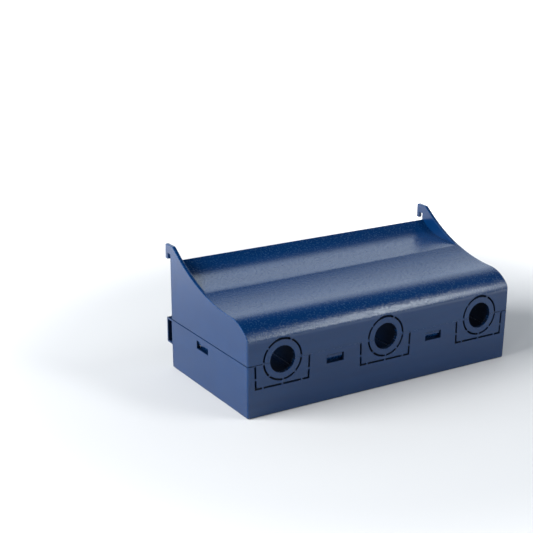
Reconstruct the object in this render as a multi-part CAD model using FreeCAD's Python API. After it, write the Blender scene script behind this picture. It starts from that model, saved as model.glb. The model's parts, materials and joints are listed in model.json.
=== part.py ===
"""Terminal shroud for a three-pole switch: a curved hood over a box-shaped tray.

The cables enter through three round holes in the front wall. Each hole sits in a knock-out ring,
and each lower half ring in a U-shaped knock-out panel, so that thicker cables or flat bars fit too.
Frame: origin under the middle of the outer box, X along the front wall, Y to the rear, Z up.
All sizes are in millimetres.
"""
import FreeCAD, Part
import math
import os

from FreeCAD import Vector

os.makedirs("parts", exist_ok=True)

# ---- driving dimensions ----
pole_pitch = 65.0          # distance between neighbouring cable holes
front_width = 171.5        # outer width at the front wall
depth = 83.3               # front face to the rear edge of the walls
side_draft = 1.78          # degrees by which each end wall opens towards the rear
wall = 2.2                 # thickness of every outer wall
corner_radius = 1.2        # upright front corners
bottom_radius = 1.0        # edge around the tray's underside

tray_height = 29.4         # underside to the seam between tray and hood
tray_front_draft = 0.6     # the tray's front face leans back by this much at the bottom
tray_end_draft = 0.3       # and each end face leans in by this much
seam_groove = 0.5         # shadow groove around the seam, high and deep
seam_play = 0.05           # air on each side of the seam at the knock-outs

# hood: the line along the top, from the front wall to the rear
shoulder_start = 40.7      # height where the front wall begins to round over
nose_radius = 6.8          # tight round above the front wall
nose_turn = 46.6           # degrees turned by that round
brow_radius = 21.8         # slack round that carries on to the level
sweep_radius = 104.4       # long hollow sweep of the top
sweep_turn = 34.3          # degrees reached at the end walls before the hooks
crease_turn = 17.0         # degrees reached on the sweep where the sunk rear shelf begins
shelf_rise = 3.5           # degrees by which the shelf climbs to the rear
flange_at = 65.2           # depth where the shelf turns up into the flange
flange_radius = 28.9       # round of the flange
flange_turn = 40.0         # degrees reached at its edge

# hooks on the end walls
hook_top = 72.8
hook_reach = 5.6           # how far the hook stands behind the walls
hook_lip = 2.7             # thickness of the lip
hook_lip_bottom = 64.2
hook_slot_top = 67.5
hook_round = 1.0

# cable holes and knock-outs
hole_radius = 7.5
hole_rise = 0.6            # hole centres above the seam
ring_slit_radius = 11.25   # middle of the round slit
slit = 1.1                 # width of every slit
web_play = 0.05            # break line between a web and the wall
web_width = 1.0
web_setback = 0.25         # webs start this far behind the front face
web_root = 0.5             # and this far inside the ring's edge
upper_web_angles = (62.0, 140.0)
lower_web_angles = (225.0, 272.0, 312.0)
seam_web = 0.75            # height of the web stubs beside the seam
panel_half_width = 16.3    # middle of the U-shaped slit at the seam
panel_drop = 13.2          # middle of its bottom run, below the seam
panel_taper = 0.4          # each upright run leans in by this much
panel_bottom_webs = (-0.72, 0.0, 0.72)
panel_side_web = 0.6       # height share, from the seam down

# latches
window_width = 10.8
window_height = 4.7
window_drop = 3.0          # seam to the window's top edge
side_window_width = 12.5
side_window_at = 47.7      # centre of the side windows behind the front face
latch_air = 0.4            # tongue to wall
latch_thickness = 1.4
barb_side_play = 0.5       # the barb is this much narrower than the window, each side
strip_over = 0.6           # the tongue itself is this much wider, each side
latch_root_rise = 9.5      # hinge line above the seam
latch_tail = 20.0          # height of the tongue's lower end
latch_play = 0.05          # radial air in the root socket
barb_setback = 0.9         # barb face behind the wall's outer face
barb_top_play = 0.5        # barb under the window's top edge
barb_land = 1.3            # upright part of the barb's face
boss_height = 3.5

# skirt that reaches from the hood into the tray
skirt_air = 0.15
skirt_thickness = 1.2
skirt_drop = 6.6
skirt_root = 5.0
zone_play = 1.0            # skirt stops this far from knock-outs, latches and lugs
front_zone = 10.0          # depth of those gaps behind the front face
corner_gap = 3.0           # gap in the skirt at the front corners, along the front wall
corner_zone = 6.0          # and along the end walls; the tray's rail starts there too
rail_height = 15.3         # stiffening rail inside the tray's end walls
rail_size = 1.0

# barriers between the poles
barrier_thickness = 1.6
barrier_air = 1.0          # under the hood
barrier_front = 9.0        # behind the front face
barrier_back = 3.0         # ahead of the walls' rear edge
guide_air = 0.1
guide_thickness = 1.2
guide_height = 3.0

# guide lugs behind the tray
lug_bottom = 14.3
lug_width = 5.0
lug_skin = 1.0
lug_pocket = 3.0
lug_root = 6.0

# ---- values worked out from them ----
front = -(depth + hook_reach) / 2
rear = front + depth
hook_rear = rear + hook_reach
seam = tray_height
poles = (-pole_pitch, 0.0, pole_pitch)
pole_names = ("left", "middle", "right")
between_poles = {"left": -pole_pitch / 2, "right": pole_pitch / 2}
ring_outer = ring_slit_radius - slit / 2
ring_cut = ring_slit_radius + slit / 2
hole_height = seam + hole_rise
far = 300.0                # longer than the object
spare = 1.0                # by this much a cutting tool reaches past what it cuts


def half_width(y):
    """Half of the outer width at a depth y."""
    return front_width / 2 + math.tan(math.radians(side_draft)) * (y - front)


def box(x0, x1, y0, y1, z0, z1):
    return Part.makeBox(x1 - x0, y1 - y0, z1 - z0, Vector(x0, y0, z0))


def fuse(first, *others):
    return first.fuse(list(others)).removeSplitter()


def save(shape, name):
    solid = shape.Solids[0]
    solid.exportStep("parts/" + name + ".step")
    print(name, len(shape.Solids), "solid,", round(solid.Volume, 1), "mm3, valid", solid.isValid())


def plan_block(inset, low, high, starts=None, ends=None):
    """Block whose plan follows the front and end walls, drawn in by an inset."""
    starts = front + inset if starts is None else starts
    ends = rear if ends is None else ends
    corners = []
    for y, side in ((starts, -1), (starts, 1), (ends, 1), (ends, -1)):
        corners.append(Vector(side * (half_width(y) - inset), y, low))
    outline = Part.makePolygon(corners + corners[:1])
    return Part.Face(outline).extrude(Vector(0, 0, high - low))


def round_front_corners(block, radius):
    upright = []
    for edge in block.Edges:
        ends = [v.Point for v in edge.Vertexes]
        if max(p.y for p in ends) < front + tray_front_draft + 0.01 and abs(ends[0].z - ends[-1].z) > 1:
            upright.append(edge)
    return block.makeFillet(radius, upright)


def tray_block():
    """Outside of the tray, with its draft towards the underside."""
    rings = []
    for z, back, inward in ((0, tray_front_draft, tray_end_draft), (seam, 0, 0)):
        ring = []
        for y, side in ((front + back, -1), (front + back, 1), (rear, 1), (rear, -1)):
            ring.append(Vector(side * (half_width(y) - inward), y, z))
        rings.append(Part.makePolygon(ring + ring[:1]))
    return Part.makeLoft(rings, True, True)


def on_circle(centre, radius, degrees):
    a = math.radians(degrees)
    return Vector(0, centre[0] + radius * math.cos(a), centre[1] + radius * math.sin(a))


def arc(centre, radius, first, last):
    """Arc in the YZ plane; the centre is (y, z), the angles are in degrees from +Y."""
    middle = on_circle(centre, radius, (first + last) / 2)
    return Part.Arc(on_circle(centre, radius, first), middle, on_circle(centre, radius, last)).toShape()


def lines(*points):
    """Straight edges through (y, z) points in the YZ plane."""
    spots = [p if isinstance(p, Vector) else Vector(0, p[0], p[1]) for p in points]
    return [Part.makeLine(a, b) for a, b in zip(spots, spots[1:])]


def spread(edges, half):
    """Solid between -half and +half in X, from edges that close in the YZ plane."""
    face = Part.Face(Part.Wire(Part.__sortEdges__(edges)))
    face.translate(Vector(-half, 0, 0))
    return face.extrude(Vector(2 * half, 0, 0))


# centres of the rounds along the top, as (y, z)
nose_end = 180.0 - nose_turn
nose_centre = (front + nose_radius, shoulder_start)
brow_gap = nose_radius - brow_radius
brow_centre = (
    nose_centre[0] + brow_gap * math.cos(math.radians(nose_end)),
    nose_centre[1] + brow_gap * math.sin(math.radians(nose_end)),
)
sweep_centre = (brow_centre[0], brow_centre[1] + brow_radius + sweep_radius)
crease = on_circle(sweep_centre, sweep_radius, -90 + crease_turn)
shelf_slope = math.radians(shelf_rise)
shelf_end = crease.z + (front + flange_at - crease.y) * math.tan(shelf_slope)
flange_centre = (
    front + flange_at - flange_radius * math.sin(shelf_slope),
    shelf_end + flange_radius * math.cos(shelf_slope),
)


def crease_angle(inset):
    """Angle on the sweep where the shelf begins, drawn in by an inset."""
    reach = sweep_radius * math.cos(math.radians(crease_turn - shelf_rise)) + inset
    return -90 + shelf_rise + math.degrees(math.acos(reach / (sweep_radius + inset)))


def front_rounds(inset):
    return [
        arc(nose_centre, nose_radius - inset, 180, nose_end),
        arc(brow_centre, brow_radius - inset, nose_end, 90),
    ]


def top_line(inset, base):
    """Edges of the hood's top from a base height on the front wall to the flange's edge."""
    bend = crease_angle(inset)
    sweep_in = sweep_radius + inset
    flange_in = flange_radius + inset
    start = lines((front + inset, base), (front + inset, shoulder_start))
    shelf = lines(on_circle(sweep_centre, sweep_in, bend),
                  on_circle(flange_centre, flange_in, -90 + shelf_rise))
    curves = [
        arc(sweep_centre, sweep_in, -90, bend),
        arc(flange_centre, flange_in, -90 + shelf_rise, -90 + flange_turn),
    ]
    return start + front_rounds(inset) + curves + shelf


def flange_end(inset):
    return on_circle(flange_centre, flange_radius + inset, -90 + flange_turn)


# ---- hood ----
def hood_sheet():
    """Front wall and top in one bent sheet."""
    edges = top_line(0, seam) + top_line(wall, seam)
    edges += lines(flange_end(0), flange_end(wall)) + lines((front, seam), (front + wall, seam))
    return spread(edges, far / 2).common(round_front_corners(plan_block(0, 0, far, front, hook_rear),
                                                             corner_radius))


def hood_end_walls():
    """Both end walls with their hooks."""
    sweep_end = on_circle(sweep_centre, sweep_radius, -90 + sweep_turn)
    run = (hook_top - sweep_end.z) / math.tan(math.radians(sweep_turn))
    lip_front = hook_rear - hook_lip
    edges = lines((front, seam), (front, shoulder_start)) + front_rounds(0)
    edges.append(arc(sweep_centre, sweep_radius, -90, -90 + sweep_turn))
    edges += lines(sweep_end, (sweep_end.y + run, hook_top), (hook_rear - hook_round, hook_top))
    edges.append(arc((hook_rear - hook_round, hook_top - hook_round), hook_round, 90, 0))
    edges += lines((hook_rear, hook_top - hook_round), (hook_rear, hook_lip_bottom),
                   (lip_front, hook_lip_bottom), (lip_front, hook_slot_top), (rear, hook_slot_top),
                   (rear, seam), (front, seam))
    whole = spread(edges, far / 2)
    outer = round_front_corners(plan_block(0, 0, far, front, hook_rear), corner_radius)
    inner = plan_block(wall, -spare, far + spare, front - spare, hook_rear + spare)
    return whole.common(outer).cut(inner)


def skirt():
    """Thin wall that laps inside the tray, between the knock-outs and the latches."""
    low = seam - skirt_drop
    high = seam + skirt_root
    back = rear - lug_root - zone_play
    inside = plan_block(wall + skirt_air + skirt_thickness, low - spare, high + spare, None, far)
    lap = plan_block(wall + skirt_air, low, high, None, back).cut(inside)
    root = plan_block(wall - skirt_air, seam, high, None, back).cut(inside)
    keep_off = []
    clear_panel = panel_half_width + slit / 2 + zone_play
    clear_latch = window_width / 2 + zone_play
    for x in poles:
        keep_off.append(box(x - clear_panel, x + clear_panel, front, front + front_zone, 0, far))
    for x in between_poles.values():
        keep_off.append(box(x - clear_latch, x + clear_latch, front, front + front_zone, 0, far))
    side_at = front + side_window_at
    clear_side = side_window_width / 2 + zone_play
    keep_off.append(box(-far, far, side_at - clear_side, side_at + clear_side, 0, far))
    edge = half_width(front) - wall - corner_gap
    keep_off.append(box(edge, far, front, front + corner_zone, 0, far))
    keep_off.append(box(-far, -edge, front, front + corner_zone, 0, far))
    return fuse(lap, root).cut(Part.makeCompound(keep_off))


def cylinder_y(x, z, radius, y0, y1):
    return Part.makeCylinder(radius, y1 - y0, Vector(x, y0, z), Vector(0, 1, 0))


def seam_cutter():
    """Ring that cuts the shadow groove around the seam; the front is tight between the outer holes."""
    low = seam - seam_groove / 2
    high = seam + seam_groove / 2
    ring = plan_block(-spare, low, high, front - spare, hook_rear + spare)
    tight = box(-pole_pitch, pole_pitch, front - far, front + wall, low - spare, high + spare)
    return ring.cut(plan_block(seam_groove, 0, far, None, far)).cut(tight)


# A latch is drawn against a flat wall whose outer face is y = 0, with the tongue behind it at +y,
# centred on x = 0. place_front and place_side then carry it to its wall.
def latch_tongue(opening):
    y0 = wall + latch_air
    y1 = y0 + latch_thickness
    mid = (y0 + y1) / 2
    root = seam + latch_root_rise
    barb_high = seam - window_drop - barb_top_play
    barb_low = seam - window_drop - window_height + barb_top_play
    strip = lines((y0, root), (y0, latch_tail), (y1, latch_tail), (y1, root))
    strip.append(arc((mid, root), latch_thickness / 2, 0, 180))
    barb = lines((mid, barb_high), (barb_setback, barb_high), (barb_setback, barb_high - barb_land),
                 (y0, barb_low), (mid, barb_low), (mid, barb_high))
    return fuse(spread(strip, opening / 2 + strip_over), spread(barb, opening / 2 - barb_side_play))


def latch_boss(opening):
    """Block on the hood's inner face that carries the tongue's root."""
    y0 = wall - skirt_air
    y1 = wall + latch_air + latch_thickness + skirt_air
    mid = wall + latch_air + latch_thickness / 2
    root = seam + latch_root_rise
    half = opening / 2 + strip_over
    block = box(-half, half, y0, y1, root, root + boss_height)
    socket = Part.makeCylinder(latch_thickness / 2 + latch_play, 2 * (half + spare),
                               Vector(-half - spare, mid, root), Vector(1, 0, 0))
    return block.cut(socket)


def place_front(shape, x):
    return shape.translated(Vector(x, front, 0))


def place_side(shape, side):
    """Turn the shape's -y side to the end wall on that side, and follow the wall's draft."""
    y = front + side_window_at
    placed = shape.copy()
    placed.rotate(Vector(0, 0, 0), Vector(0, 0, 1), side * (90 - side_draft))
    placed.translate(Vector(side * half_width(y), y, 0))
    return placed


def hood():
    body = fuse(hood_sheet(), hood_end_walls(), skirt())
    for x in between_poles.values():
        body = fuse(body, place_front(latch_boss(window_width), x))
    for side in (-1, 1):
        body = fuse(body, place_side(latch_boss(side_window_width), side))
    body = body.cut(seam_cutter())
    for x in poles:
        body = body.cut(cylinder_y(x, hole_height, ring_cut, front - spare, front + wall + spare))
    return body


# ---- tray ----
def panel_prism(x, edge, y0, y1, top):
    """Prism in the shape of the U-shaped slit, edge mm outside its middle."""
    half_top = panel_half_width + edge
    half_low = panel_half_width - panel_taper + edge
    low = seam - panel_drop - edge
    reach = top - seam
    half_high = half_top + panel_taper * reach / panel_drop
    corners = [Vector(x - half_low, y0, low), Vector(x + half_low, y0, low),
               Vector(x + half_high, y0, top), Vector(x - half_high, y0, top)]
    return Part.Face(Part.makePolygon(corners + corners[:1])).extrude(Vector(0, y1 - y0, 0))


def lug(side):
    """Hollow lug behind the end wall, open to the outside, that locates the tray."""
    top = seam - seam_groove / 2
    corners = []
    for y, inward in ((rear, 0), (hook_rear, 0), (hook_rear, lug_width), (rear - lug_root, lug_width),
                      (rear - lug_root, wall - skirt_air), (rear, wall - skirt_air)):
        corners.append(Vector(side * (half_width(y) - inward), y, lug_bottom))
    block = Part.Face(Part.makePolygon(corners + corners[:1])).extrude(Vector(0, 0, top - lug_bottom))
    pocket_in = side * (half_width(rear) - lug_pocket)
    pocket_out = side * (half_width(hook_rear) + spare)
    pocket = box(min(pocket_in, pocket_out), max(pocket_in, pocket_out), rear, hook_rear - lug_skin,
                 lug_bottom + lug_skin, top - lug_skin)
    return block.cut(pocket)


def tray():
    outer = round_front_corners(tray_block(), corner_radius)
    under = [e for e in outer.Edges if max(v.Z for v in e.Vertexes) < 0.01
             and min(v.Y for v in e.Vertexes) < rear - 0.01]
    body = outer.makeFillet(bottom_radius, under)
    body = body.cut(plan_block(wall, wall, far, None, rear + spare))
    rail = plan_block(wall - skirt_air, rail_height, rail_height + rail_size, front + corner_zone,
                      rear - barrier_back)
    rail = rail.cut(plan_block(wall + rail_size, 0, far, front, rear + spare))
    extras = [rail, lug(-1), lug(1)]
    slot = barrier_thickness / 2 + guide_air
    for x in between_poles.values():
        for near, wide in ((x - slot - guide_thickness, x - slot), (x + slot, x + slot + guide_thickness)):
            extras.append(box(near, wide, front + barrier_front, rear - barrier_back, wall / 2,
                              wall + guide_height))
    body = fuse(body, *extras)
    cuts = [panel_prism(x, slit / 2, front - spare, front + wall + spare, seam + spare) for x in poles]
    window_top = seam - window_drop
    for x in between_poles.values():
        cuts.append(box(x - window_width / 2, x + window_width / 2, front - spare, front + wall + spare,
                        window_top - window_height, window_top))
    side_window = box(-side_window_width / 2, side_window_width / 2, -spare, wall + spare,
                      window_top - window_height, window_top)
    cuts += [place_side(side_window, -1), place_side(side_window, 1), seam_cutter()]
    return body.cut(Part.makeCompound(cuts))


# ---- knock-outs ----
def web_block(x, degrees):
    """Radial web that bridges the round slit."""
    block = box(x + ring_outer - web_root, x + ring_cut, front + web_setback, front + wall,
                hole_height - web_width / 2, hole_height + web_width / 2)
    block.rotate(Vector(x, 0, hole_height), Vector(0, 1, 0), -degrees)
    return block


def half_ring(x, upper):
    """One half of the knock-out ring around a cable hole, with its webs."""
    ring = cylinder_y(x, hole_height, ring_outer, front, front + wall)
    angles = upper_web_angles if upper else lower_web_angles
    webs = [web_block(x, a) for a in angles]
    stub_low = seam if upper else seam - seam_web
    for side in (-1, 1):
        inner = x + side * (ring_outer - web_root)
        outer = x + side * ring_cut
        webs.append(box(min(inner, outer), max(inner, outer), front + web_setback, front + wall,
                        stub_low, stub_low + seam_web))
    ring = fuse(ring, *webs)
    ring = ring.common(cylinder_y(x, hole_height, ring_cut - web_play, front, front + wall))
    ring = ring.cut(cylinder_y(x, hole_height, hole_radius, front - spare, front + wall + spare))
    if upper:
        kept = box(x - ring_cut, x + ring_cut, front, front + wall, seam + seam_play, far)
    else:
        kept = box(x - ring_cut, x + ring_cut, front, front + wall, 0, seam - seam_play)
        kept = kept.common(tray_block())
    return ring.common(kept)


def u_panel(x):
    """U-shaped knock-out panel around the lower half ring."""
    panel = panel_prism(x, -slit / 2, front, front + wall, seam - seam_play)
    webs = []
    reach = slit + web_width
    low = seam - panel_drop
    for share in panel_bottom_webs:
        at = x + share * panel_half_width
        webs.append(box(at - web_width / 2, at + web_width / 2, front + web_setback, front + wall,
                        low - reach, low + reach))
    web_high = seam - panel_side_web * panel_drop
    webs.append(box(x - panel_half_width - reach, x + panel_half_width + reach, front + web_setback,
                    front + wall, web_high - web_width / 2, web_high + web_width / 2))
    for side in (-1, 1):
        inner = x + side * (panel_half_width - reach)
        outer = x + side * (panel_half_width + reach)
        webs.append(box(min(inner, outer), max(inner, outer), front + web_setback, front + wall,
                        seam - seam_web, seam - seam_play))
    limit = panel_prism(x, slit / 2 - web_play, front, front + wall, seam - seam_play)
    panel = fuse(panel, *webs).common(limit).common(tray_block())
    return panel.cut(cylinder_y(x, hole_height, ring_cut, front - spare, front + wall + spare))


# ---- barriers ----
def barrier(x):
    """Insulating plate between two poles; it stands in the tray's guides."""
    inset = wall + barrier_air
    edges = top_line(inset, wall)
    end = flange_end(inset)
    edges += lines(end, (end.y, wall), (front + inset, wall))
    plate = spread(edges, barrier_thickness / 2).translated(Vector(x, 0, 0))
    kept = box(x - spare, x + spare, front + barrier_front, rear - barrier_back, 0, far)
    return plate.common(kept)


save(hood(), "hood")
save(tray(), "tray")
for name, x in zip(pole_names, poles):
    save(half_ring(x, True), "upper_half_ring_" + name)
    save(half_ring(x, False), "lower_half_ring_" + name)
    save(u_panel(x), "knock_out_panel_" + name)
for name, x in between_poles.items():
    save(place_front(latch_tongue(window_width), x), "front_latch_" + name)
    save(barrier(x), "phase_barrier_" + name)
for name, side in (("left", -1), ("right", 1)):
    save(place_side(latch_tongue(side_window_width), side), "end_latch_" + name)
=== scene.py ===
import bmesh
import bpy
import json
import math
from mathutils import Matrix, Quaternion, Vector
from mathutils.bvhtree import BVHTree


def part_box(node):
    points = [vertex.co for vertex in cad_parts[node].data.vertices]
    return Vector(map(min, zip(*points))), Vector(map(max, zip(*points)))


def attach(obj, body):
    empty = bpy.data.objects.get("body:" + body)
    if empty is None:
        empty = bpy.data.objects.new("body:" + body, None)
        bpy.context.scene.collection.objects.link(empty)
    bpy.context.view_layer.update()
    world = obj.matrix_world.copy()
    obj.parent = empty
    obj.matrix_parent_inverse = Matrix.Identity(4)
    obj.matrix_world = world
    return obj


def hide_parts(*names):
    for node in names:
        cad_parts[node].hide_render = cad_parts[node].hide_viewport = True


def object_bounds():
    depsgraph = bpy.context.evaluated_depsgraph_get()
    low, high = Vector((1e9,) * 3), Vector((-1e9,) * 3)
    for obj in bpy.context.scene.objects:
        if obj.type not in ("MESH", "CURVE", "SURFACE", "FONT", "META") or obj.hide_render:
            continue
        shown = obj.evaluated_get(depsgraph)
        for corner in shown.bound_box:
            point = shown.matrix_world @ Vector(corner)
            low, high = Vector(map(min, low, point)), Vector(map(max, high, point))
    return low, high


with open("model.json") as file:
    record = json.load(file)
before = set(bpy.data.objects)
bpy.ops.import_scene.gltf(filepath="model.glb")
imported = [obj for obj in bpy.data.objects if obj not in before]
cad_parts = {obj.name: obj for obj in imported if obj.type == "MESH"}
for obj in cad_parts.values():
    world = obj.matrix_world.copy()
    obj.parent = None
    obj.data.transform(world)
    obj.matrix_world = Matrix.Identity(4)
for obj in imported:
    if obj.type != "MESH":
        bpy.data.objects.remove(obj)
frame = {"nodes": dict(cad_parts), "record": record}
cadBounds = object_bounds()
mm = 0.001
scene = bpy.context.scene
scene.view_settings.view_transform = "Standard"
print("frame loaded,", len(frame["nodes"]), "nodes")


# small helpers for node trees
def plug(tree, setting, socket):
    # a plain value is set on the socket, an output is linked to it
    if isinstance(setting, (int, float, tuple)):
        socket.default_value = setting
    else:
        tree.links.new(setting, socket)


def mathNode(tree, operation, first, second=0.0):
    node = tree.nodes.new("ShaderNodeMath")
    node.operation = operation
    plug(tree, first, node.inputs[0])
    plug(tree, second, node.inputs[1])
    return node.outputs[0]


def rampNode(tree, value, spanFrom, spanTo, smooth=True):
    ramp = tree.nodes.new("ShaderNodeMapRange")
    ramp.interpolation_type = "SMOOTHSTEP" if smooth else "LINEAR"
    plug(tree, value, ramp.inputs["Value"])
    plug(tree, spanFrom[0], ramp.inputs["From Min"])
    plug(tree, spanFrom[1], ramp.inputs["From Max"])
    plug(tree, spanTo[0], ramp.inputs["To Min"])
    plug(tree, spanTo[1], ramp.inputs["To Max"])
    return ramp.outputs["Result"]


def coordsOf(tree, kind):
    return tree.nodes.new("ShaderNodeTexCoord").outputs[kind]


def partsOf(tree, vector):
    split = tree.nodes.new("ShaderNodeSeparateXYZ")
    plug(tree, vector, split.inputs[0])
    return split.outputs


# the view: from the left, a little above the hood
viewSettings = {
    "azimuth": -30.11,      # degrees, negative swings the camera to the left of the front
    "elevation": 17.8,
    "lens": 78.14,
    "sensor": 36.0,
    "place": Vector((-349.3, -517.95, 257.3)) * mm,
    "nearest": 10 * mm,
}


def makeCamera():
    turn = math.radians(viewSettings["azimuth"])
    lift = math.radians(viewSettings["elevation"])
    back = Vector((math.sin(turn) * math.cos(lift), -math.cos(turn) * math.cos(lift), math.sin(lift)))
    data = bpy.data.cameras.new("productCamera")
    data.lens = viewSettings["lens"]
    data.sensor_width = viewSettings["sensor"]
    data.clip_start = viewSettings["nearest"]
    camera = bpy.data.objects.new("productCamera", data)
    scene.collection.objects.link(camera)
    camera.rotation_euler = back.to_track_quat("Z", "Y").to_euler()
    camera.location = viewSettings["place"]
    scene.camera = camera


# what lights the part and mirrors in it: white paper all round up to the height of the lights,
# black above it; plain white is what shows behind the part
studio = {
    "backdrop": 1.24,       # brightness of the paper behind the part
    "front": 0.45,          # the same in front of it
    "blend": 0.5,           # sine of the angle to either side over which they blend
    "ceiling": 0.0,         # brightness overhead
    "tint": (0.88, 1.0, 1.13, 1.0),     # of the paper
    "boxTint": (0.985, 1.0, 1.02),      # of the softboxes
    "paperTop": 0.655,      # sine of the height where the paper ends
    "fade": 0.09,
    "seen": (1.0, 1.0, 1.0, 1.0),       # plain white behind the part
}

softboxes = {
    # name: direction from the part, distance, width, height (m), power (W), roll (degrees),
    # and whether it shows in reflections
    "leftRear": ((-0.85, 0.18, 0.50), 1.5, 1.1, 0.9, 49.5, 0.0, False),
    "frontRight": ((0.56, -0.61, 0.56), 1.4, 0.29, 1.24, 11.5, -32.0, True),
    "edgeStrip": ((-0.72, -0.52, 0.46), 1.4, 0.25, 0.60, 2.4, 0.0, True),
}

paperFloor = {
    "size": 6.0,            # half the side, m
    "near": 0.53,           # grey under the part
    "far": 0.90,            # grey where the sweep is lit by itself
    "glow": 0.95,
    "glowTint": (1.0, 0.95, 0.89, 1.0),
    "start": 0.16,          # m from the part
    "end": 0.45,
    "roughness": 0.9,
    "shine": 0.2,
}


def makeSurroundings():
    world = bpy.data.worlds.new("studioSurroundings")
    scene.world = world
    world.use_nodes = True
    tree = world.node_tree
    light = tree.nodes["Background"]
    light.inputs["Color"].default_value = studio["tint"]
    direction = partsOf(tree, coordsOf(tree, "Generated"))
    paper = rampNode(tree, direction["Y"], (-studio["blend"], studio["blend"]),
                     (studio["front"], studio["backdrop"]))
    edge = (studio["paperTop"] - studio["fade"], studio["paperTop"] + studio["fade"])
    plug(tree, rampNode(tree, direction["Z"], edge, (paper, studio["ceiling"])), light.inputs["Strength"])
    seen = tree.nodes.new("ShaderNodeBackground")
    seen.inputs["Color"].default_value = studio["seen"]
    mix = tree.nodes.new("ShaderNodeMixShader")
    plug(tree, tree.nodes.new("ShaderNodeLightPath").outputs["Is Camera Ray"], mix.inputs["Fac"])
    plug(tree, light.outputs[0], mix.inputs[1])
    plug(tree, seen.outputs[0], mix.inputs[2])
    plug(tree, mix.outputs[0], tree.nodes["World Output"].inputs["Surface"])


def makeSoftboxes():
    low, high = cadBounds
    middle = Vector((0, 0, (low[2] + high[2]) / 2))
    for name, (toward, distance, width, height, power, roll, mirrored) in softboxes.items():
        data = bpy.data.lights.new(name, "AREA")
        data.shape = "RECTANGLE"
        data.size = width
        data.size_y = height
        data.energy = power
        data.color = studio["boxTint"]
        light = bpy.data.objects.new(name, data)
        scene.collection.objects.link(light)
        away = Vector(toward).normalized()
        light.location = middle + away * distance
        turned = away.to_track_quat("Z", "Y") @ Quaternion((0, 0, 1), math.radians(roll))
        light.rotation_euler = turned.to_euler()
        light.visible_camera = False
        light.visible_glossy = mirrored


def makeFloor():
    size = paperFloor["size"]
    mesh = bpy.data.meshes.new("floor")
    corners = [(-size, -size, 0), (size, -size, 0), (size, size, 0), (-size, size, 0)]
    mesh.from_pydata(corners, [], [(0, 1, 2, 3)])
    floor = bpy.data.objects.new("floor", mesh)
    scene.collection.objects.link(floor)
    paper = bpy.data.materials.new("palePaper")
    paper.use_nodes = True
    tree = paper.node_tree
    shader = tree.nodes["Principled BSDF"]
    shader.inputs["Roughness"].default_value = paperFloor["roughness"]
    shader.inputs["Specular IOR Level"].default_value = paperFloor["shine"]
    shader.inputs["Emission Color"].default_value = paperFloor["glowTint"]
    away = tree.nodes.new("ShaderNodeVectorMath")
    away.operation = "LENGTH"
    plug(tree, coordsOf(tree, "Object"), away.inputs[0])
    reach = (paperFloor["start"], paperFloor["end"])
    grey = rampNode(tree, away.outputs["Value"], reach, (paperFloor["near"], paperFloor["far"]))
    glow = rampNode(tree, away.outputs["Value"], reach, (0.0, paperFloor["glow"]))
    plug(tree, grey, shader.inputs["Base Color"])
    plug(tree, glow, shader.inputs["Emission Strength"])
    mesh.materials.append(paper)


makeCamera()
makeSurroundings()
makeSoftboxes()
makeFloor()
print("camera, light and floor ready")


# shader groups shared by the finishes
def newGroup(name, inputs, outputs):
    # inputs are (name, start value), all numbers
    tree = bpy.data.node_groups.new(name, "ShaderNodeTree")
    for label, start in inputs:
        socket = tree.interface.new_socket(label, in_out="INPUT", socket_type="NodeSocketFloat")
        socket.default_value = start
    for label in outputs:
        tree.interface.new_socket(label, in_out="OUTPUT", socket_type="NodeSocketFloat")
    return tree, tree.nodes.new("NodeGroupInput"), tree.nodes.new("NodeGroupOutput")


def noiseOn(tree, coords, scale, detail, roughness):
    noise = tree.nodes.new("ShaderNodeTexNoise")
    noise.inputs["Detail"].default_value = detail
    noise.inputs["Roughness"].default_value = roughness
    plug(tree, coords, noise.inputs["Vector"])
    plug(tree, scale, noise.inputs["Scale"])
    return noise.outputs["Fac"]


def perSize(tree, size):
    # how often a feature of this size, in mm, fits into a metre
    return mathNode(tree, "DIVIDE", 1 / mm, size)


grainShape = {
    "fine": (2.0, 0.6),         # detail and roughness of the fine pits
    "coarse": (1.0, 0.5),       # the same of the coarse ones
    "speckle": (0.35, 0.65),    # fine pits from glossy to matt
    "upward": (0.05, 0.40),     # upward part of the normal over which the texture comes in
    "middle": 0.5,              # speckle of a spot that is neither
}


def makeMouldGrain():
    # fine pitted texture of an eroded mould, as a height and as a speckle mask; it is finer on
    # the upright walls, where a coarse mould would not let go of the part
    tree, entry, leave = newGroup("mouldGrain", [
        ("Fine Size", 0.45),
        ("Coarse Size", 1.6),
        ("Coarse Share", 0.35),
        ("Wall Share", 0.3),
    ], ["Height", "Speckle"])
    coords = coordsOf(tree, "Object")
    fine = noiseOn(tree, coords, perSize(tree, entry.outputs["Fine Size"]), *grainShape["fine"])
    coarse = noiseOn(tree, coords, perSize(tree, entry.outputs["Coarse Size"]), *grainShape["coarse"])
    coarseHeight = mathNode(tree, "MULTIPLY", coarse, entry.outputs["Coarse Share"])
    height = mathNode(tree, "ADD", fine, coarseHeight)
    middle = grainShape["middle"]
    speckle = rampNode(tree, fine, grainShape["speckle"], (-middle, middle), smooth=False)
    upward = mathNode(tree, "ABSOLUTE", partsOf(tree, coordsOf(tree, "Normal"))["Z"])
    level = rampNode(tree, upward, grainShape["upward"], (entry.outputs["Wall Share"], 1.0))
    plug(tree, mathNode(tree, "MULTIPLY", height, level), leave.inputs["Height"])
    faded = mathNode(tree, "MULTIPLY", speckle, level)
    plug(tree, mathNode(tree, "ADD", faded, middle), leave.inputs["Speckle"])
    return tree


edgeHighlightPatchShape = {
    "patches": (4.0, 0.6),      # detail and roughness of the patches of painted edge highlight
    "contrast": 1.6,
}


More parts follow.
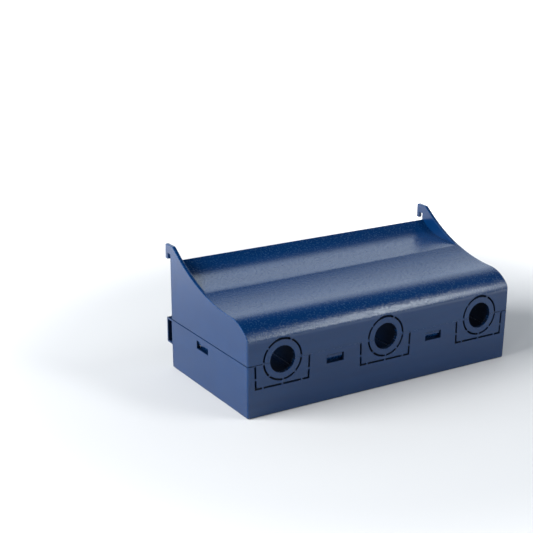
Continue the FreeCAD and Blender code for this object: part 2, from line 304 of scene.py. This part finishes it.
def makePaintedEdgeHighlight():
    # painted highlight: a lighter colour in patches on the softened edges, where the rounds catch light;
    # reads the pieces' own edge attribute
    tree, entry, leave = newGroup("paintedEdgeHighlight", [
        ("Patch Size", 6.0),
        ("Amount", 0.6),
    ], ["Mask"])
    edge = tree.nodes.new("ShaderNodeAttribute")
    edge.attribute_name = "softEdge"
    size = perSize(tree, entry.outputs["Patch Size"])
    patches = noiseOn(tree, coordsOf(tree, "Object"), size, *edgeHighlightPatchShape["patches"])
    strong = mathNode(tree, "MULTIPLY", patches, edgeHighlightPatchShape["contrast"])
    highlighted = mathNode(tree, "MULTIPLY", edge.outputs["Fac"], strong)
    plug(tree, mathNode(tree, "MULTIPLY", highlighted, entry.outputs["Amount"]), leave.inputs["Mask"])
    return tree


flowShape = {
    "streaks": (3.0, 0.55),     # detail and roughness of the streaks
    "span": (0.35, 0.65),       # streaks from plain to tinted
}


def makeFlowTint():
    # faint long streaks where the melt ran along the mould, 0 to 1
    tree, entry, leave = newGroup("flowTint", [
        ("Streak Length", 70.0),
        ("Streak Width", 9.0),
    ], ["Value"])
    squeeze = tree.nodes.new("ShaderNodeVectorMath")
    squeeze.operation = "MULTIPLY"
    plug(tree, coordsOf(tree, "Object"), squeeze.inputs[0])
    build = tree.nodes.new("ShaderNodeCombineXYZ")
    across = perSize(tree, entry.outputs["Streak Width"])
    plug(tree, perSize(tree, entry.outputs["Streak Length"]), build.inputs["X"])
    plug(tree, across, build.inputs["Y"])
    plug(tree, across, build.inputs["Z"])
    plug(tree, build.outputs[0], squeeze.inputs[1])
    plug(tree, noiseOn(tree, squeeze.outputs[0], 1.0, *flowShape["streaks"]), leave.inputs["Value"])
    return tree


mouldGrain = makeMouldGrain()
paintedEdgeHighlight = makePaintedEdgeHighlight()
flowTint = makeFlowTint()

# finishes; colours are linear
shellFinish = {
    "name": "mouldedBlue",
    "base": (0.0008, 0.0178, 0.0695, 1.0),
    "streak": (0.0012, 0.0212, 0.0795, 1.0),
    # painted highlight: the lighter colour of the softened edges
    "paintedHighlight": (0.0060, 0.0340, 0.1050, 1.0),
    "softEdgeDull": 0.06,     # added to the roughness of the edges under the painted highlight
    "shine": 0.5,
    "shineTint": (0.91, 0.98, 1.0, 1.0),
    "gloss": 0.12,          # roughness of the smoothest spots
    "glossSpread": 0.20,
    "grain": 0.075 * mm,    # depth of the texture
    "fineSize": 1.05,
    "coarseSize": 2.6,
}
knockOutFinish = dict(shellFinish, name="mouldedBlueFlat", gloss=0.14, grain=0.08 * mm)
# finish of the faces that the part itself hides: duller, and darker as painted shade for the little light
# that reaches inside
insidePaintedShadeFinish = dict(
    shellFinish, name="mouldedBluePaintedShadeInside", gloss=0.70, grain=0.020 * mm, shine=0.10,
    base=(0.0004, 0.0062, 0.0240, 1.0), streak=(0.0005, 0.0078, 0.0290, 1.0),
)


def mixColors(tree, factor, first, second):
    mix = tree.nodes.new("ShaderNodeMix")
    mix.data_type = "RGBA"
    for label, setting in (("Factor", factor), ("A", first), ("B", second)):
        plug(tree, setting, next(s for s in mix.inputs if s.name == label and s.enabled))
    return next(s for s in mix.outputs if s.enabled)


def placeGroup(tree, group, **values):
    node = tree.nodes.new("ShaderNodeGroup")
    node.node_tree = group
    for label, value in values.items():
        node.inputs[label.replace("_", " ")].default_value = value
    return node


def makePlastic(finish):
    material = bpy.data.materials.new(finish["name"])
    material.use_nodes = True
    tree = material.node_tree
    shader = tree.nodes["Principled BSDF"]
    grain = placeGroup(tree, mouldGrain, Fine_Size=finish["fineSize"], Coarse_Size=finish["coarseSize"])
    streaks = placeGroup(tree, flowTint)
    paintedHighlight = placeGroup(tree, paintedEdgeHighlight)
    tinted = rampNode(tree, streaks.outputs["Value"], flowShape["span"], (0.0, 1.0), smooth=False)
    streaked = mixColors(tree, tinted, finish["base"], finish["streak"])
    # painted highlight on the softened edges
    plug(tree, mixColors(tree, paintedHighlight.outputs["Mask"], streaked, finish["paintedHighlight"]),
         shader.inputs["Base Color"])
    matt = finish["gloss"] + finish["glossSpread"]
    speckled = rampNode(tree, grain.outputs["Speckle"], (0.0, 1.0), (finish["gloss"], matt), smooth=False)
    dulled = mathNode(tree, "MULTIPLY", paintedHighlight.outputs["Mask"], finish["softEdgeDull"])
    plug(tree, mathNode(tree, "ADD", speckled, dulled), shader.inputs["Roughness"])
    shader.inputs["Specular IOR Level"].default_value = finish["shine"]
    shader.inputs["Specular Tint"].default_value = finish["shineTint"]
    bump = tree.nodes.new("ShaderNodeBump")
    bump.inputs["Distance"].default_value = finish["grain"]
    plug(tree, grain.outputs["Height"], bump.inputs["Height"])
    plug(tree, bump.outputs["Normal"], shader.inputs["Normal"])
    return material


shellPlastic = makePlastic(shellFinish)
knockOutPlastic = makePlastic(knockOutFinish)
insidePaintedShadePlastic = makePlastic(insidePaintedShadeFinish)
print("finishes ready")

# moulded parts with softened edges
edgeWork = {
    "rim": 0.50 * mm,       # round on the hood's rims, hooks and flange
    "rimFront": 0.5 * mm,   # the rims begin this far above the half rings on the front wall
    "rimBehind": 2.0 * mm,  # and this far above them behind it
    "frontSkin": 0.5 * mm,  # what lies this close to the front is on the front wall's face
    "fine": 0.06 * mm,      # round on every other edge
    "steps": 3,
    "profile": 0.5,         # a circular round
    "foot": 2.0 * mm,       # the underside is rounded already up to here
    "sharp": math.radians(32),
    "flat": math.radians(0.2),
    "weld": 0.002 * mm,
    "faceWeight": 50,       # how strongly large faces set the shading
}
shelterTest = {
    "share": 0.55,          # share of covered sky that makes a face an inner one
    "rays": 40,
    "reach": 400 * mm,
    "lift": 0.05 * mm,      # rays start this far off the face
    "grazing": 0.15,        # flatter rays than this are left out
}
bodyOf = {}
for bodyName, members in frame["record"]["behaviour"]["bodies"].items():
    for member in members:
        bodyOf[member] = bodyName


def looseCopy(name):
    # the node's triangles in a mesh of their own, welded together
    build = bmesh.new()
    build.from_mesh(frame["nodes"][name].data)
    plain = bmesh.new()
    spots = [plain.verts.new(v.co) for v in build.verts]
    for face in build.faces:
        plain.faces.new([spots[v.index] for v in face.verts])
    build.free()
    bmesh.ops.remove_doubles(plain, verts=plain.verts, dist=edgeWork["weld"])
    return plain


def wholeTree():
    # one search tree over every CAD node, for the shelter test
    spots = []
    faces = []
    for node in frame["nodes"].values():
        start = len(spots)
        spots += [v.co.copy() for v in node.data.vertices]
        faces += [[start + i for i in poly.vertices] for poly in node.data.polygons]
    return BVHTree.FromPolygons(spots, faces)


def skyDirections(count):
    # evenly spread directions over a whole ball, by the golden angle
    golden = math.pi * (3 - math.sqrt(5))
    directions = []
    for i in range(count):
        z = 1 - (2 * i + 1) / count
        ring = math.sqrt(1 - z * z)
        directions.append(Vector((ring * math.cos(golden * i), ring * math.sin(golden * i), z)))
    return directions


everything = wholeTree()
sky = skyDirections(shelterTest["rays"])


def shelterAt(spot, normal):
    # share of the sky over a spot that the part itself covers
    start = spot + normal * shelterTest["lift"]
    seen = 0
    covered = 0
    for way in sky:
        if way.dot(normal) < shelterTest["grazing"]:
            continue
        seen += 1
        if everything.ray_cast(start, way, shelterTest["reach"])[0] is not None:
            covered += 1
    return covered / seen


def markInnerFaces(build):
    # faces that the part itself hides get the second finish, whose darker colour is painted shade
    shelter = {}
    weight = {}
    for corners in build.calc_loop_triangles():
        face = corners[0].face
        spots = [loop.vert.co for loop in corners]
        area = ((spots[1] - spots[0]).cross(spots[2] - spots[0])).length
        centre = (spots[0] + spots[1] + spots[2]) / 3
        samples = [centre] + [(centre + corner) / 2 for corner in spots]
        cover = sum(shelterAt(spot, face.normal) for spot in samples) / len(samples)
        shelter[face] = shelter.get(face, 0) + cover * area
        weight[face] = weight.get(face, 0) + area
    for face in shelter:
        if weight[face] > 0 and shelter[face] / weight[face] > shelterTest["share"]:
            face.material_index = 1


def convexEdges(build, wanted):
    chosen = []
    for edge in build.edges:
        if len(edge.link_faces) != 2 or edge.calc_face_angle_signed() < edgeWork["sharp"]:
            continue
        middle = (edge.verts[0].co + edge.verts[1].co) / 2
        if middle.z > edgeWork["foot"] and wanted(middle):
            chosen.append(edge)
    return chosen


def soften(build, edges, width):
    result = bmesh.ops.bevel(build, geom=edges, offset=width, offset_type="OFFSET",
                             segments=edgeWork["steps"], profile=edgeWork["profile"],
                             affect="EDGES", clamp_overlap=False)
    return result["faces"]


def bakeModifiers(piece):
    bpy.context.view_layer.update()
    graph = bpy.context.evaluated_depsgraph_get()
    finished = bpy.data.meshes.new_from_object(piece.evaluated_get(graph), depsgraph=graph)
    plain = piece.data
    piece.modifiers.clear()
    piece.data = finished
    finished.name = piece.name
    bpy.data.meshes.remove(plain)


def evenShading(piece):
    # flat faces keep flat shading beside the rounds
    weights = piece.modifiers.new("evenShading", "WEIGHTED_NORMAL")
    weights.keep_sharp = True
    weights.weight = edgeWork["faceWeight"]
    bakeModifiers(piece)


def noRim(spot):
    return False


def mouldedPart(name, pieceName, material, isRim=noRim):
    build = looseCopy(name)
    edgeLayer = build.verts.layers.float.new("softEdge")
    bmesh.ops.dissolve_limit(build, angle_limit=edgeWork["flat"], verts=build.verts, edges=build.edges)
    build.normal_update()
    markInnerFaces(build)
    rounds = []
    rims = convexEdges(build, isRim)
    if rims:
        rounds += soften(build, rims, edgeWork["rim"])
    rest = convexEdges(build, lambda spot: not isRim(spot))
    rounds += soften(build, rest, edgeWork["fine"])
    rounds = {face for face in rounds if face.is_valid}
    for vert in build.verts:
        if all(face in rounds for face in vert.link_faces):
            vert[edgeLayer] = 1.0
    mesh = bpy.data.meshes.new(pieceName)
    build.to_mesh(mesh)
    build.free()
    mesh.shade_smooth()
    mesh.set_sharp_from_angle(angle=edgeWork["sharp"])
    mesh.materials.append(material)
    # second slot: the inside finish, darkened as painted shade
    mesh.materials.append(insidePaintedShadePlastic)
    piece = bpy.data.objects.new(pieceName, mesh)
    scene.collection.objects.link(piece)
    evenShading(piece)
    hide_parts(name)
    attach(piece, bodyOf[name])


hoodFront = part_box("hood")[0][1]
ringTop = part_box("upper_half_ring_middle")[1][2]


def onHoodRim(spot):
    # the hood's edges above its half rings
    if spot.z > ringTop + edgeWork["rimBehind"]:
        return True
    return spot.z > ringTop + edgeWork["rimFront"] and spot.y < hoodFront + edgeWork["frontSkin"]


mouldedPart("hood", "hoodShell", shellPlastic, onHoodRim)
mouldedPart("tray", "trayShell", shellPlastic)
for side in ("left", "middle", "right"):
    mouldedPart("upper_half_ring_" + side, "upperHalfRing." + side, knockOutPlastic)
    mouldedPart("lower_half_ring_" + side, "lowerHalfRing." + side, knockOutPlastic)
    mouldedPart("knock_out_panel_" + side, "knockOutPanel." + side, knockOutPlastic)
for side in ("left", "right"):
    mouldedPart("front_latch_" + side, "frontLatch." + side, knockOutPlastic)
    mouldedPart("end_latch_" + side, "endLatch." + side, knockOutPlastic)
    mouldedPart("phase_barrier_" + side, "phaseBarrier." + side, knockOutPlastic)
print("moulded parts ready")

# round marks that the mould's ejector pins leave on the tray's floor
pinMarks = {
    "columns": 6,
    "rows": 2,
    "across": 30.0 * mm,    # between columns
    "deep": 38.0 * mm,      # between rows
    "diameter": 4.6 * mm,
    "height": 0.14 * mm,
    "sunk": 0.06 * mm,      # of the height, in the floor
    "sides": 28,
}


def makePinMarkTree():
    tree = bpy.data.node_groups.new("pinMarkTree", "GeometryNodeTree")
    for label, kind in (("Columns", "Int"), ("Rows", "Int"), ("Sides", "Int"), ("Width", "Float"),
                        ("Depth", "Float"), ("Diameter", "Float"), ("Height", "Float"),
                        ("Middle", "Vector"), ("Finish", "Material")):
        tree.interface.new_socket(label, in_out="INPUT", socket_type="NodeSocket" + kind)
    tree.interface.new_socket("Geometry", in_out="OUTPUT", socket_type="NodeSocketGeometry")
    entry = tree.nodes.new("NodeGroupInput").outputs
    leave = tree.nodes.new("NodeGroupOutput")
    grid = tree.nodes.new("GeometryNodeMeshGrid")
    plug(tree, entry["Width"], grid.inputs["Size X"])
    plug(tree, entry["Depth"], grid.inputs["Size Y"])
    plug(tree, entry["Columns"], grid.inputs["Vertices X"])
    plug(tree, entry["Rows"], grid.inputs["Vertices Y"])
    shift = tree.nodes.new("GeometryNodeTransform")
    plug(tree, grid.outputs["Mesh"], shift.inputs["Geometry"])
    plug(tree, entry["Middle"], shift.inputs["Translation"])
    disc = tree.nodes.new("GeometryNodeMeshCylinder")
    plug(tree, entry["Sides"], disc.inputs["Vertices"])
    plug(tree, mathNode(tree, "DIVIDE", entry["Diameter"], 2.0), disc.inputs["Radius"])
    plug(tree, entry["Height"], disc.inputs["Depth"])
    spread = tree.nodes.new("GeometryNodeInstanceOnPoints")
    plug(tree, shift.outputs["Geometry"], spread.inputs["Points"])
    plug(tree, disc.outputs["Mesh"], spread.inputs["Instance"])
    real = tree.nodes.new("GeometryNodeRealizeInstances")
    plug(tree, spread.outputs["Instances"], real.inputs["Geometry"])
    dress = tree.nodes.new("GeometryNodeSetMaterial")
    plug(tree, real.outputs["Geometry"], dress.inputs["Geometry"])
    plug(tree, entry["Finish"], dress.inputs["Material"])
    plug(tree, dress.outputs["Geometry"], leave.inputs["Geometry"])
    return tree


def setTreeInputs(modifier, values):
    for item in modifier.node_group.interface.items_tree:
        if item.item_type == "SOCKET" and item.in_out == "INPUT":
            modifier[item.identifier] = values[item.name]


def makePinMarks():
    barrierLow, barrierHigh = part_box("phase_barrier_left")
    floorTop = barrierLow[2]
    piece = bpy.data.objects.new("trayPinMarks", bpy.data.meshes.new("trayPinMarks"))
    scene.collection.objects.link(piece)
    modifier = piece.modifiers.new("pinMarks", "NODES")
    modifier.node_group = makePinMarkTree()
    setTreeInputs(modifier, {
        "Columns": pinMarks["columns"],
        "Rows": pinMarks["rows"],
        "Sides": pinMarks["sides"],
        "Width": pinMarks["across"] * (pinMarks["columns"] - 1),
        "Depth": pinMarks["deep"] * (pinMarks["rows"] - 1),
        "Diameter": pinMarks["diameter"],
        "Height": pinMarks["height"],
        "Middle": (0.0, (barrierLow[1] + barrierHigh[1]) / 2,
                   floorTop + pinMarks["height"] / 2 - pinMarks["sunk"]),
        # the marks lie inside, so they take the finish darkened as painted shade
        "Finish": insidePaintedShadePlastic,
    })
    bakeModifiers(piece)
    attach(piece, bodyOf["tray"])


makePinMarks()
print("pin marks ready")

bpy.context.view_layer.update()
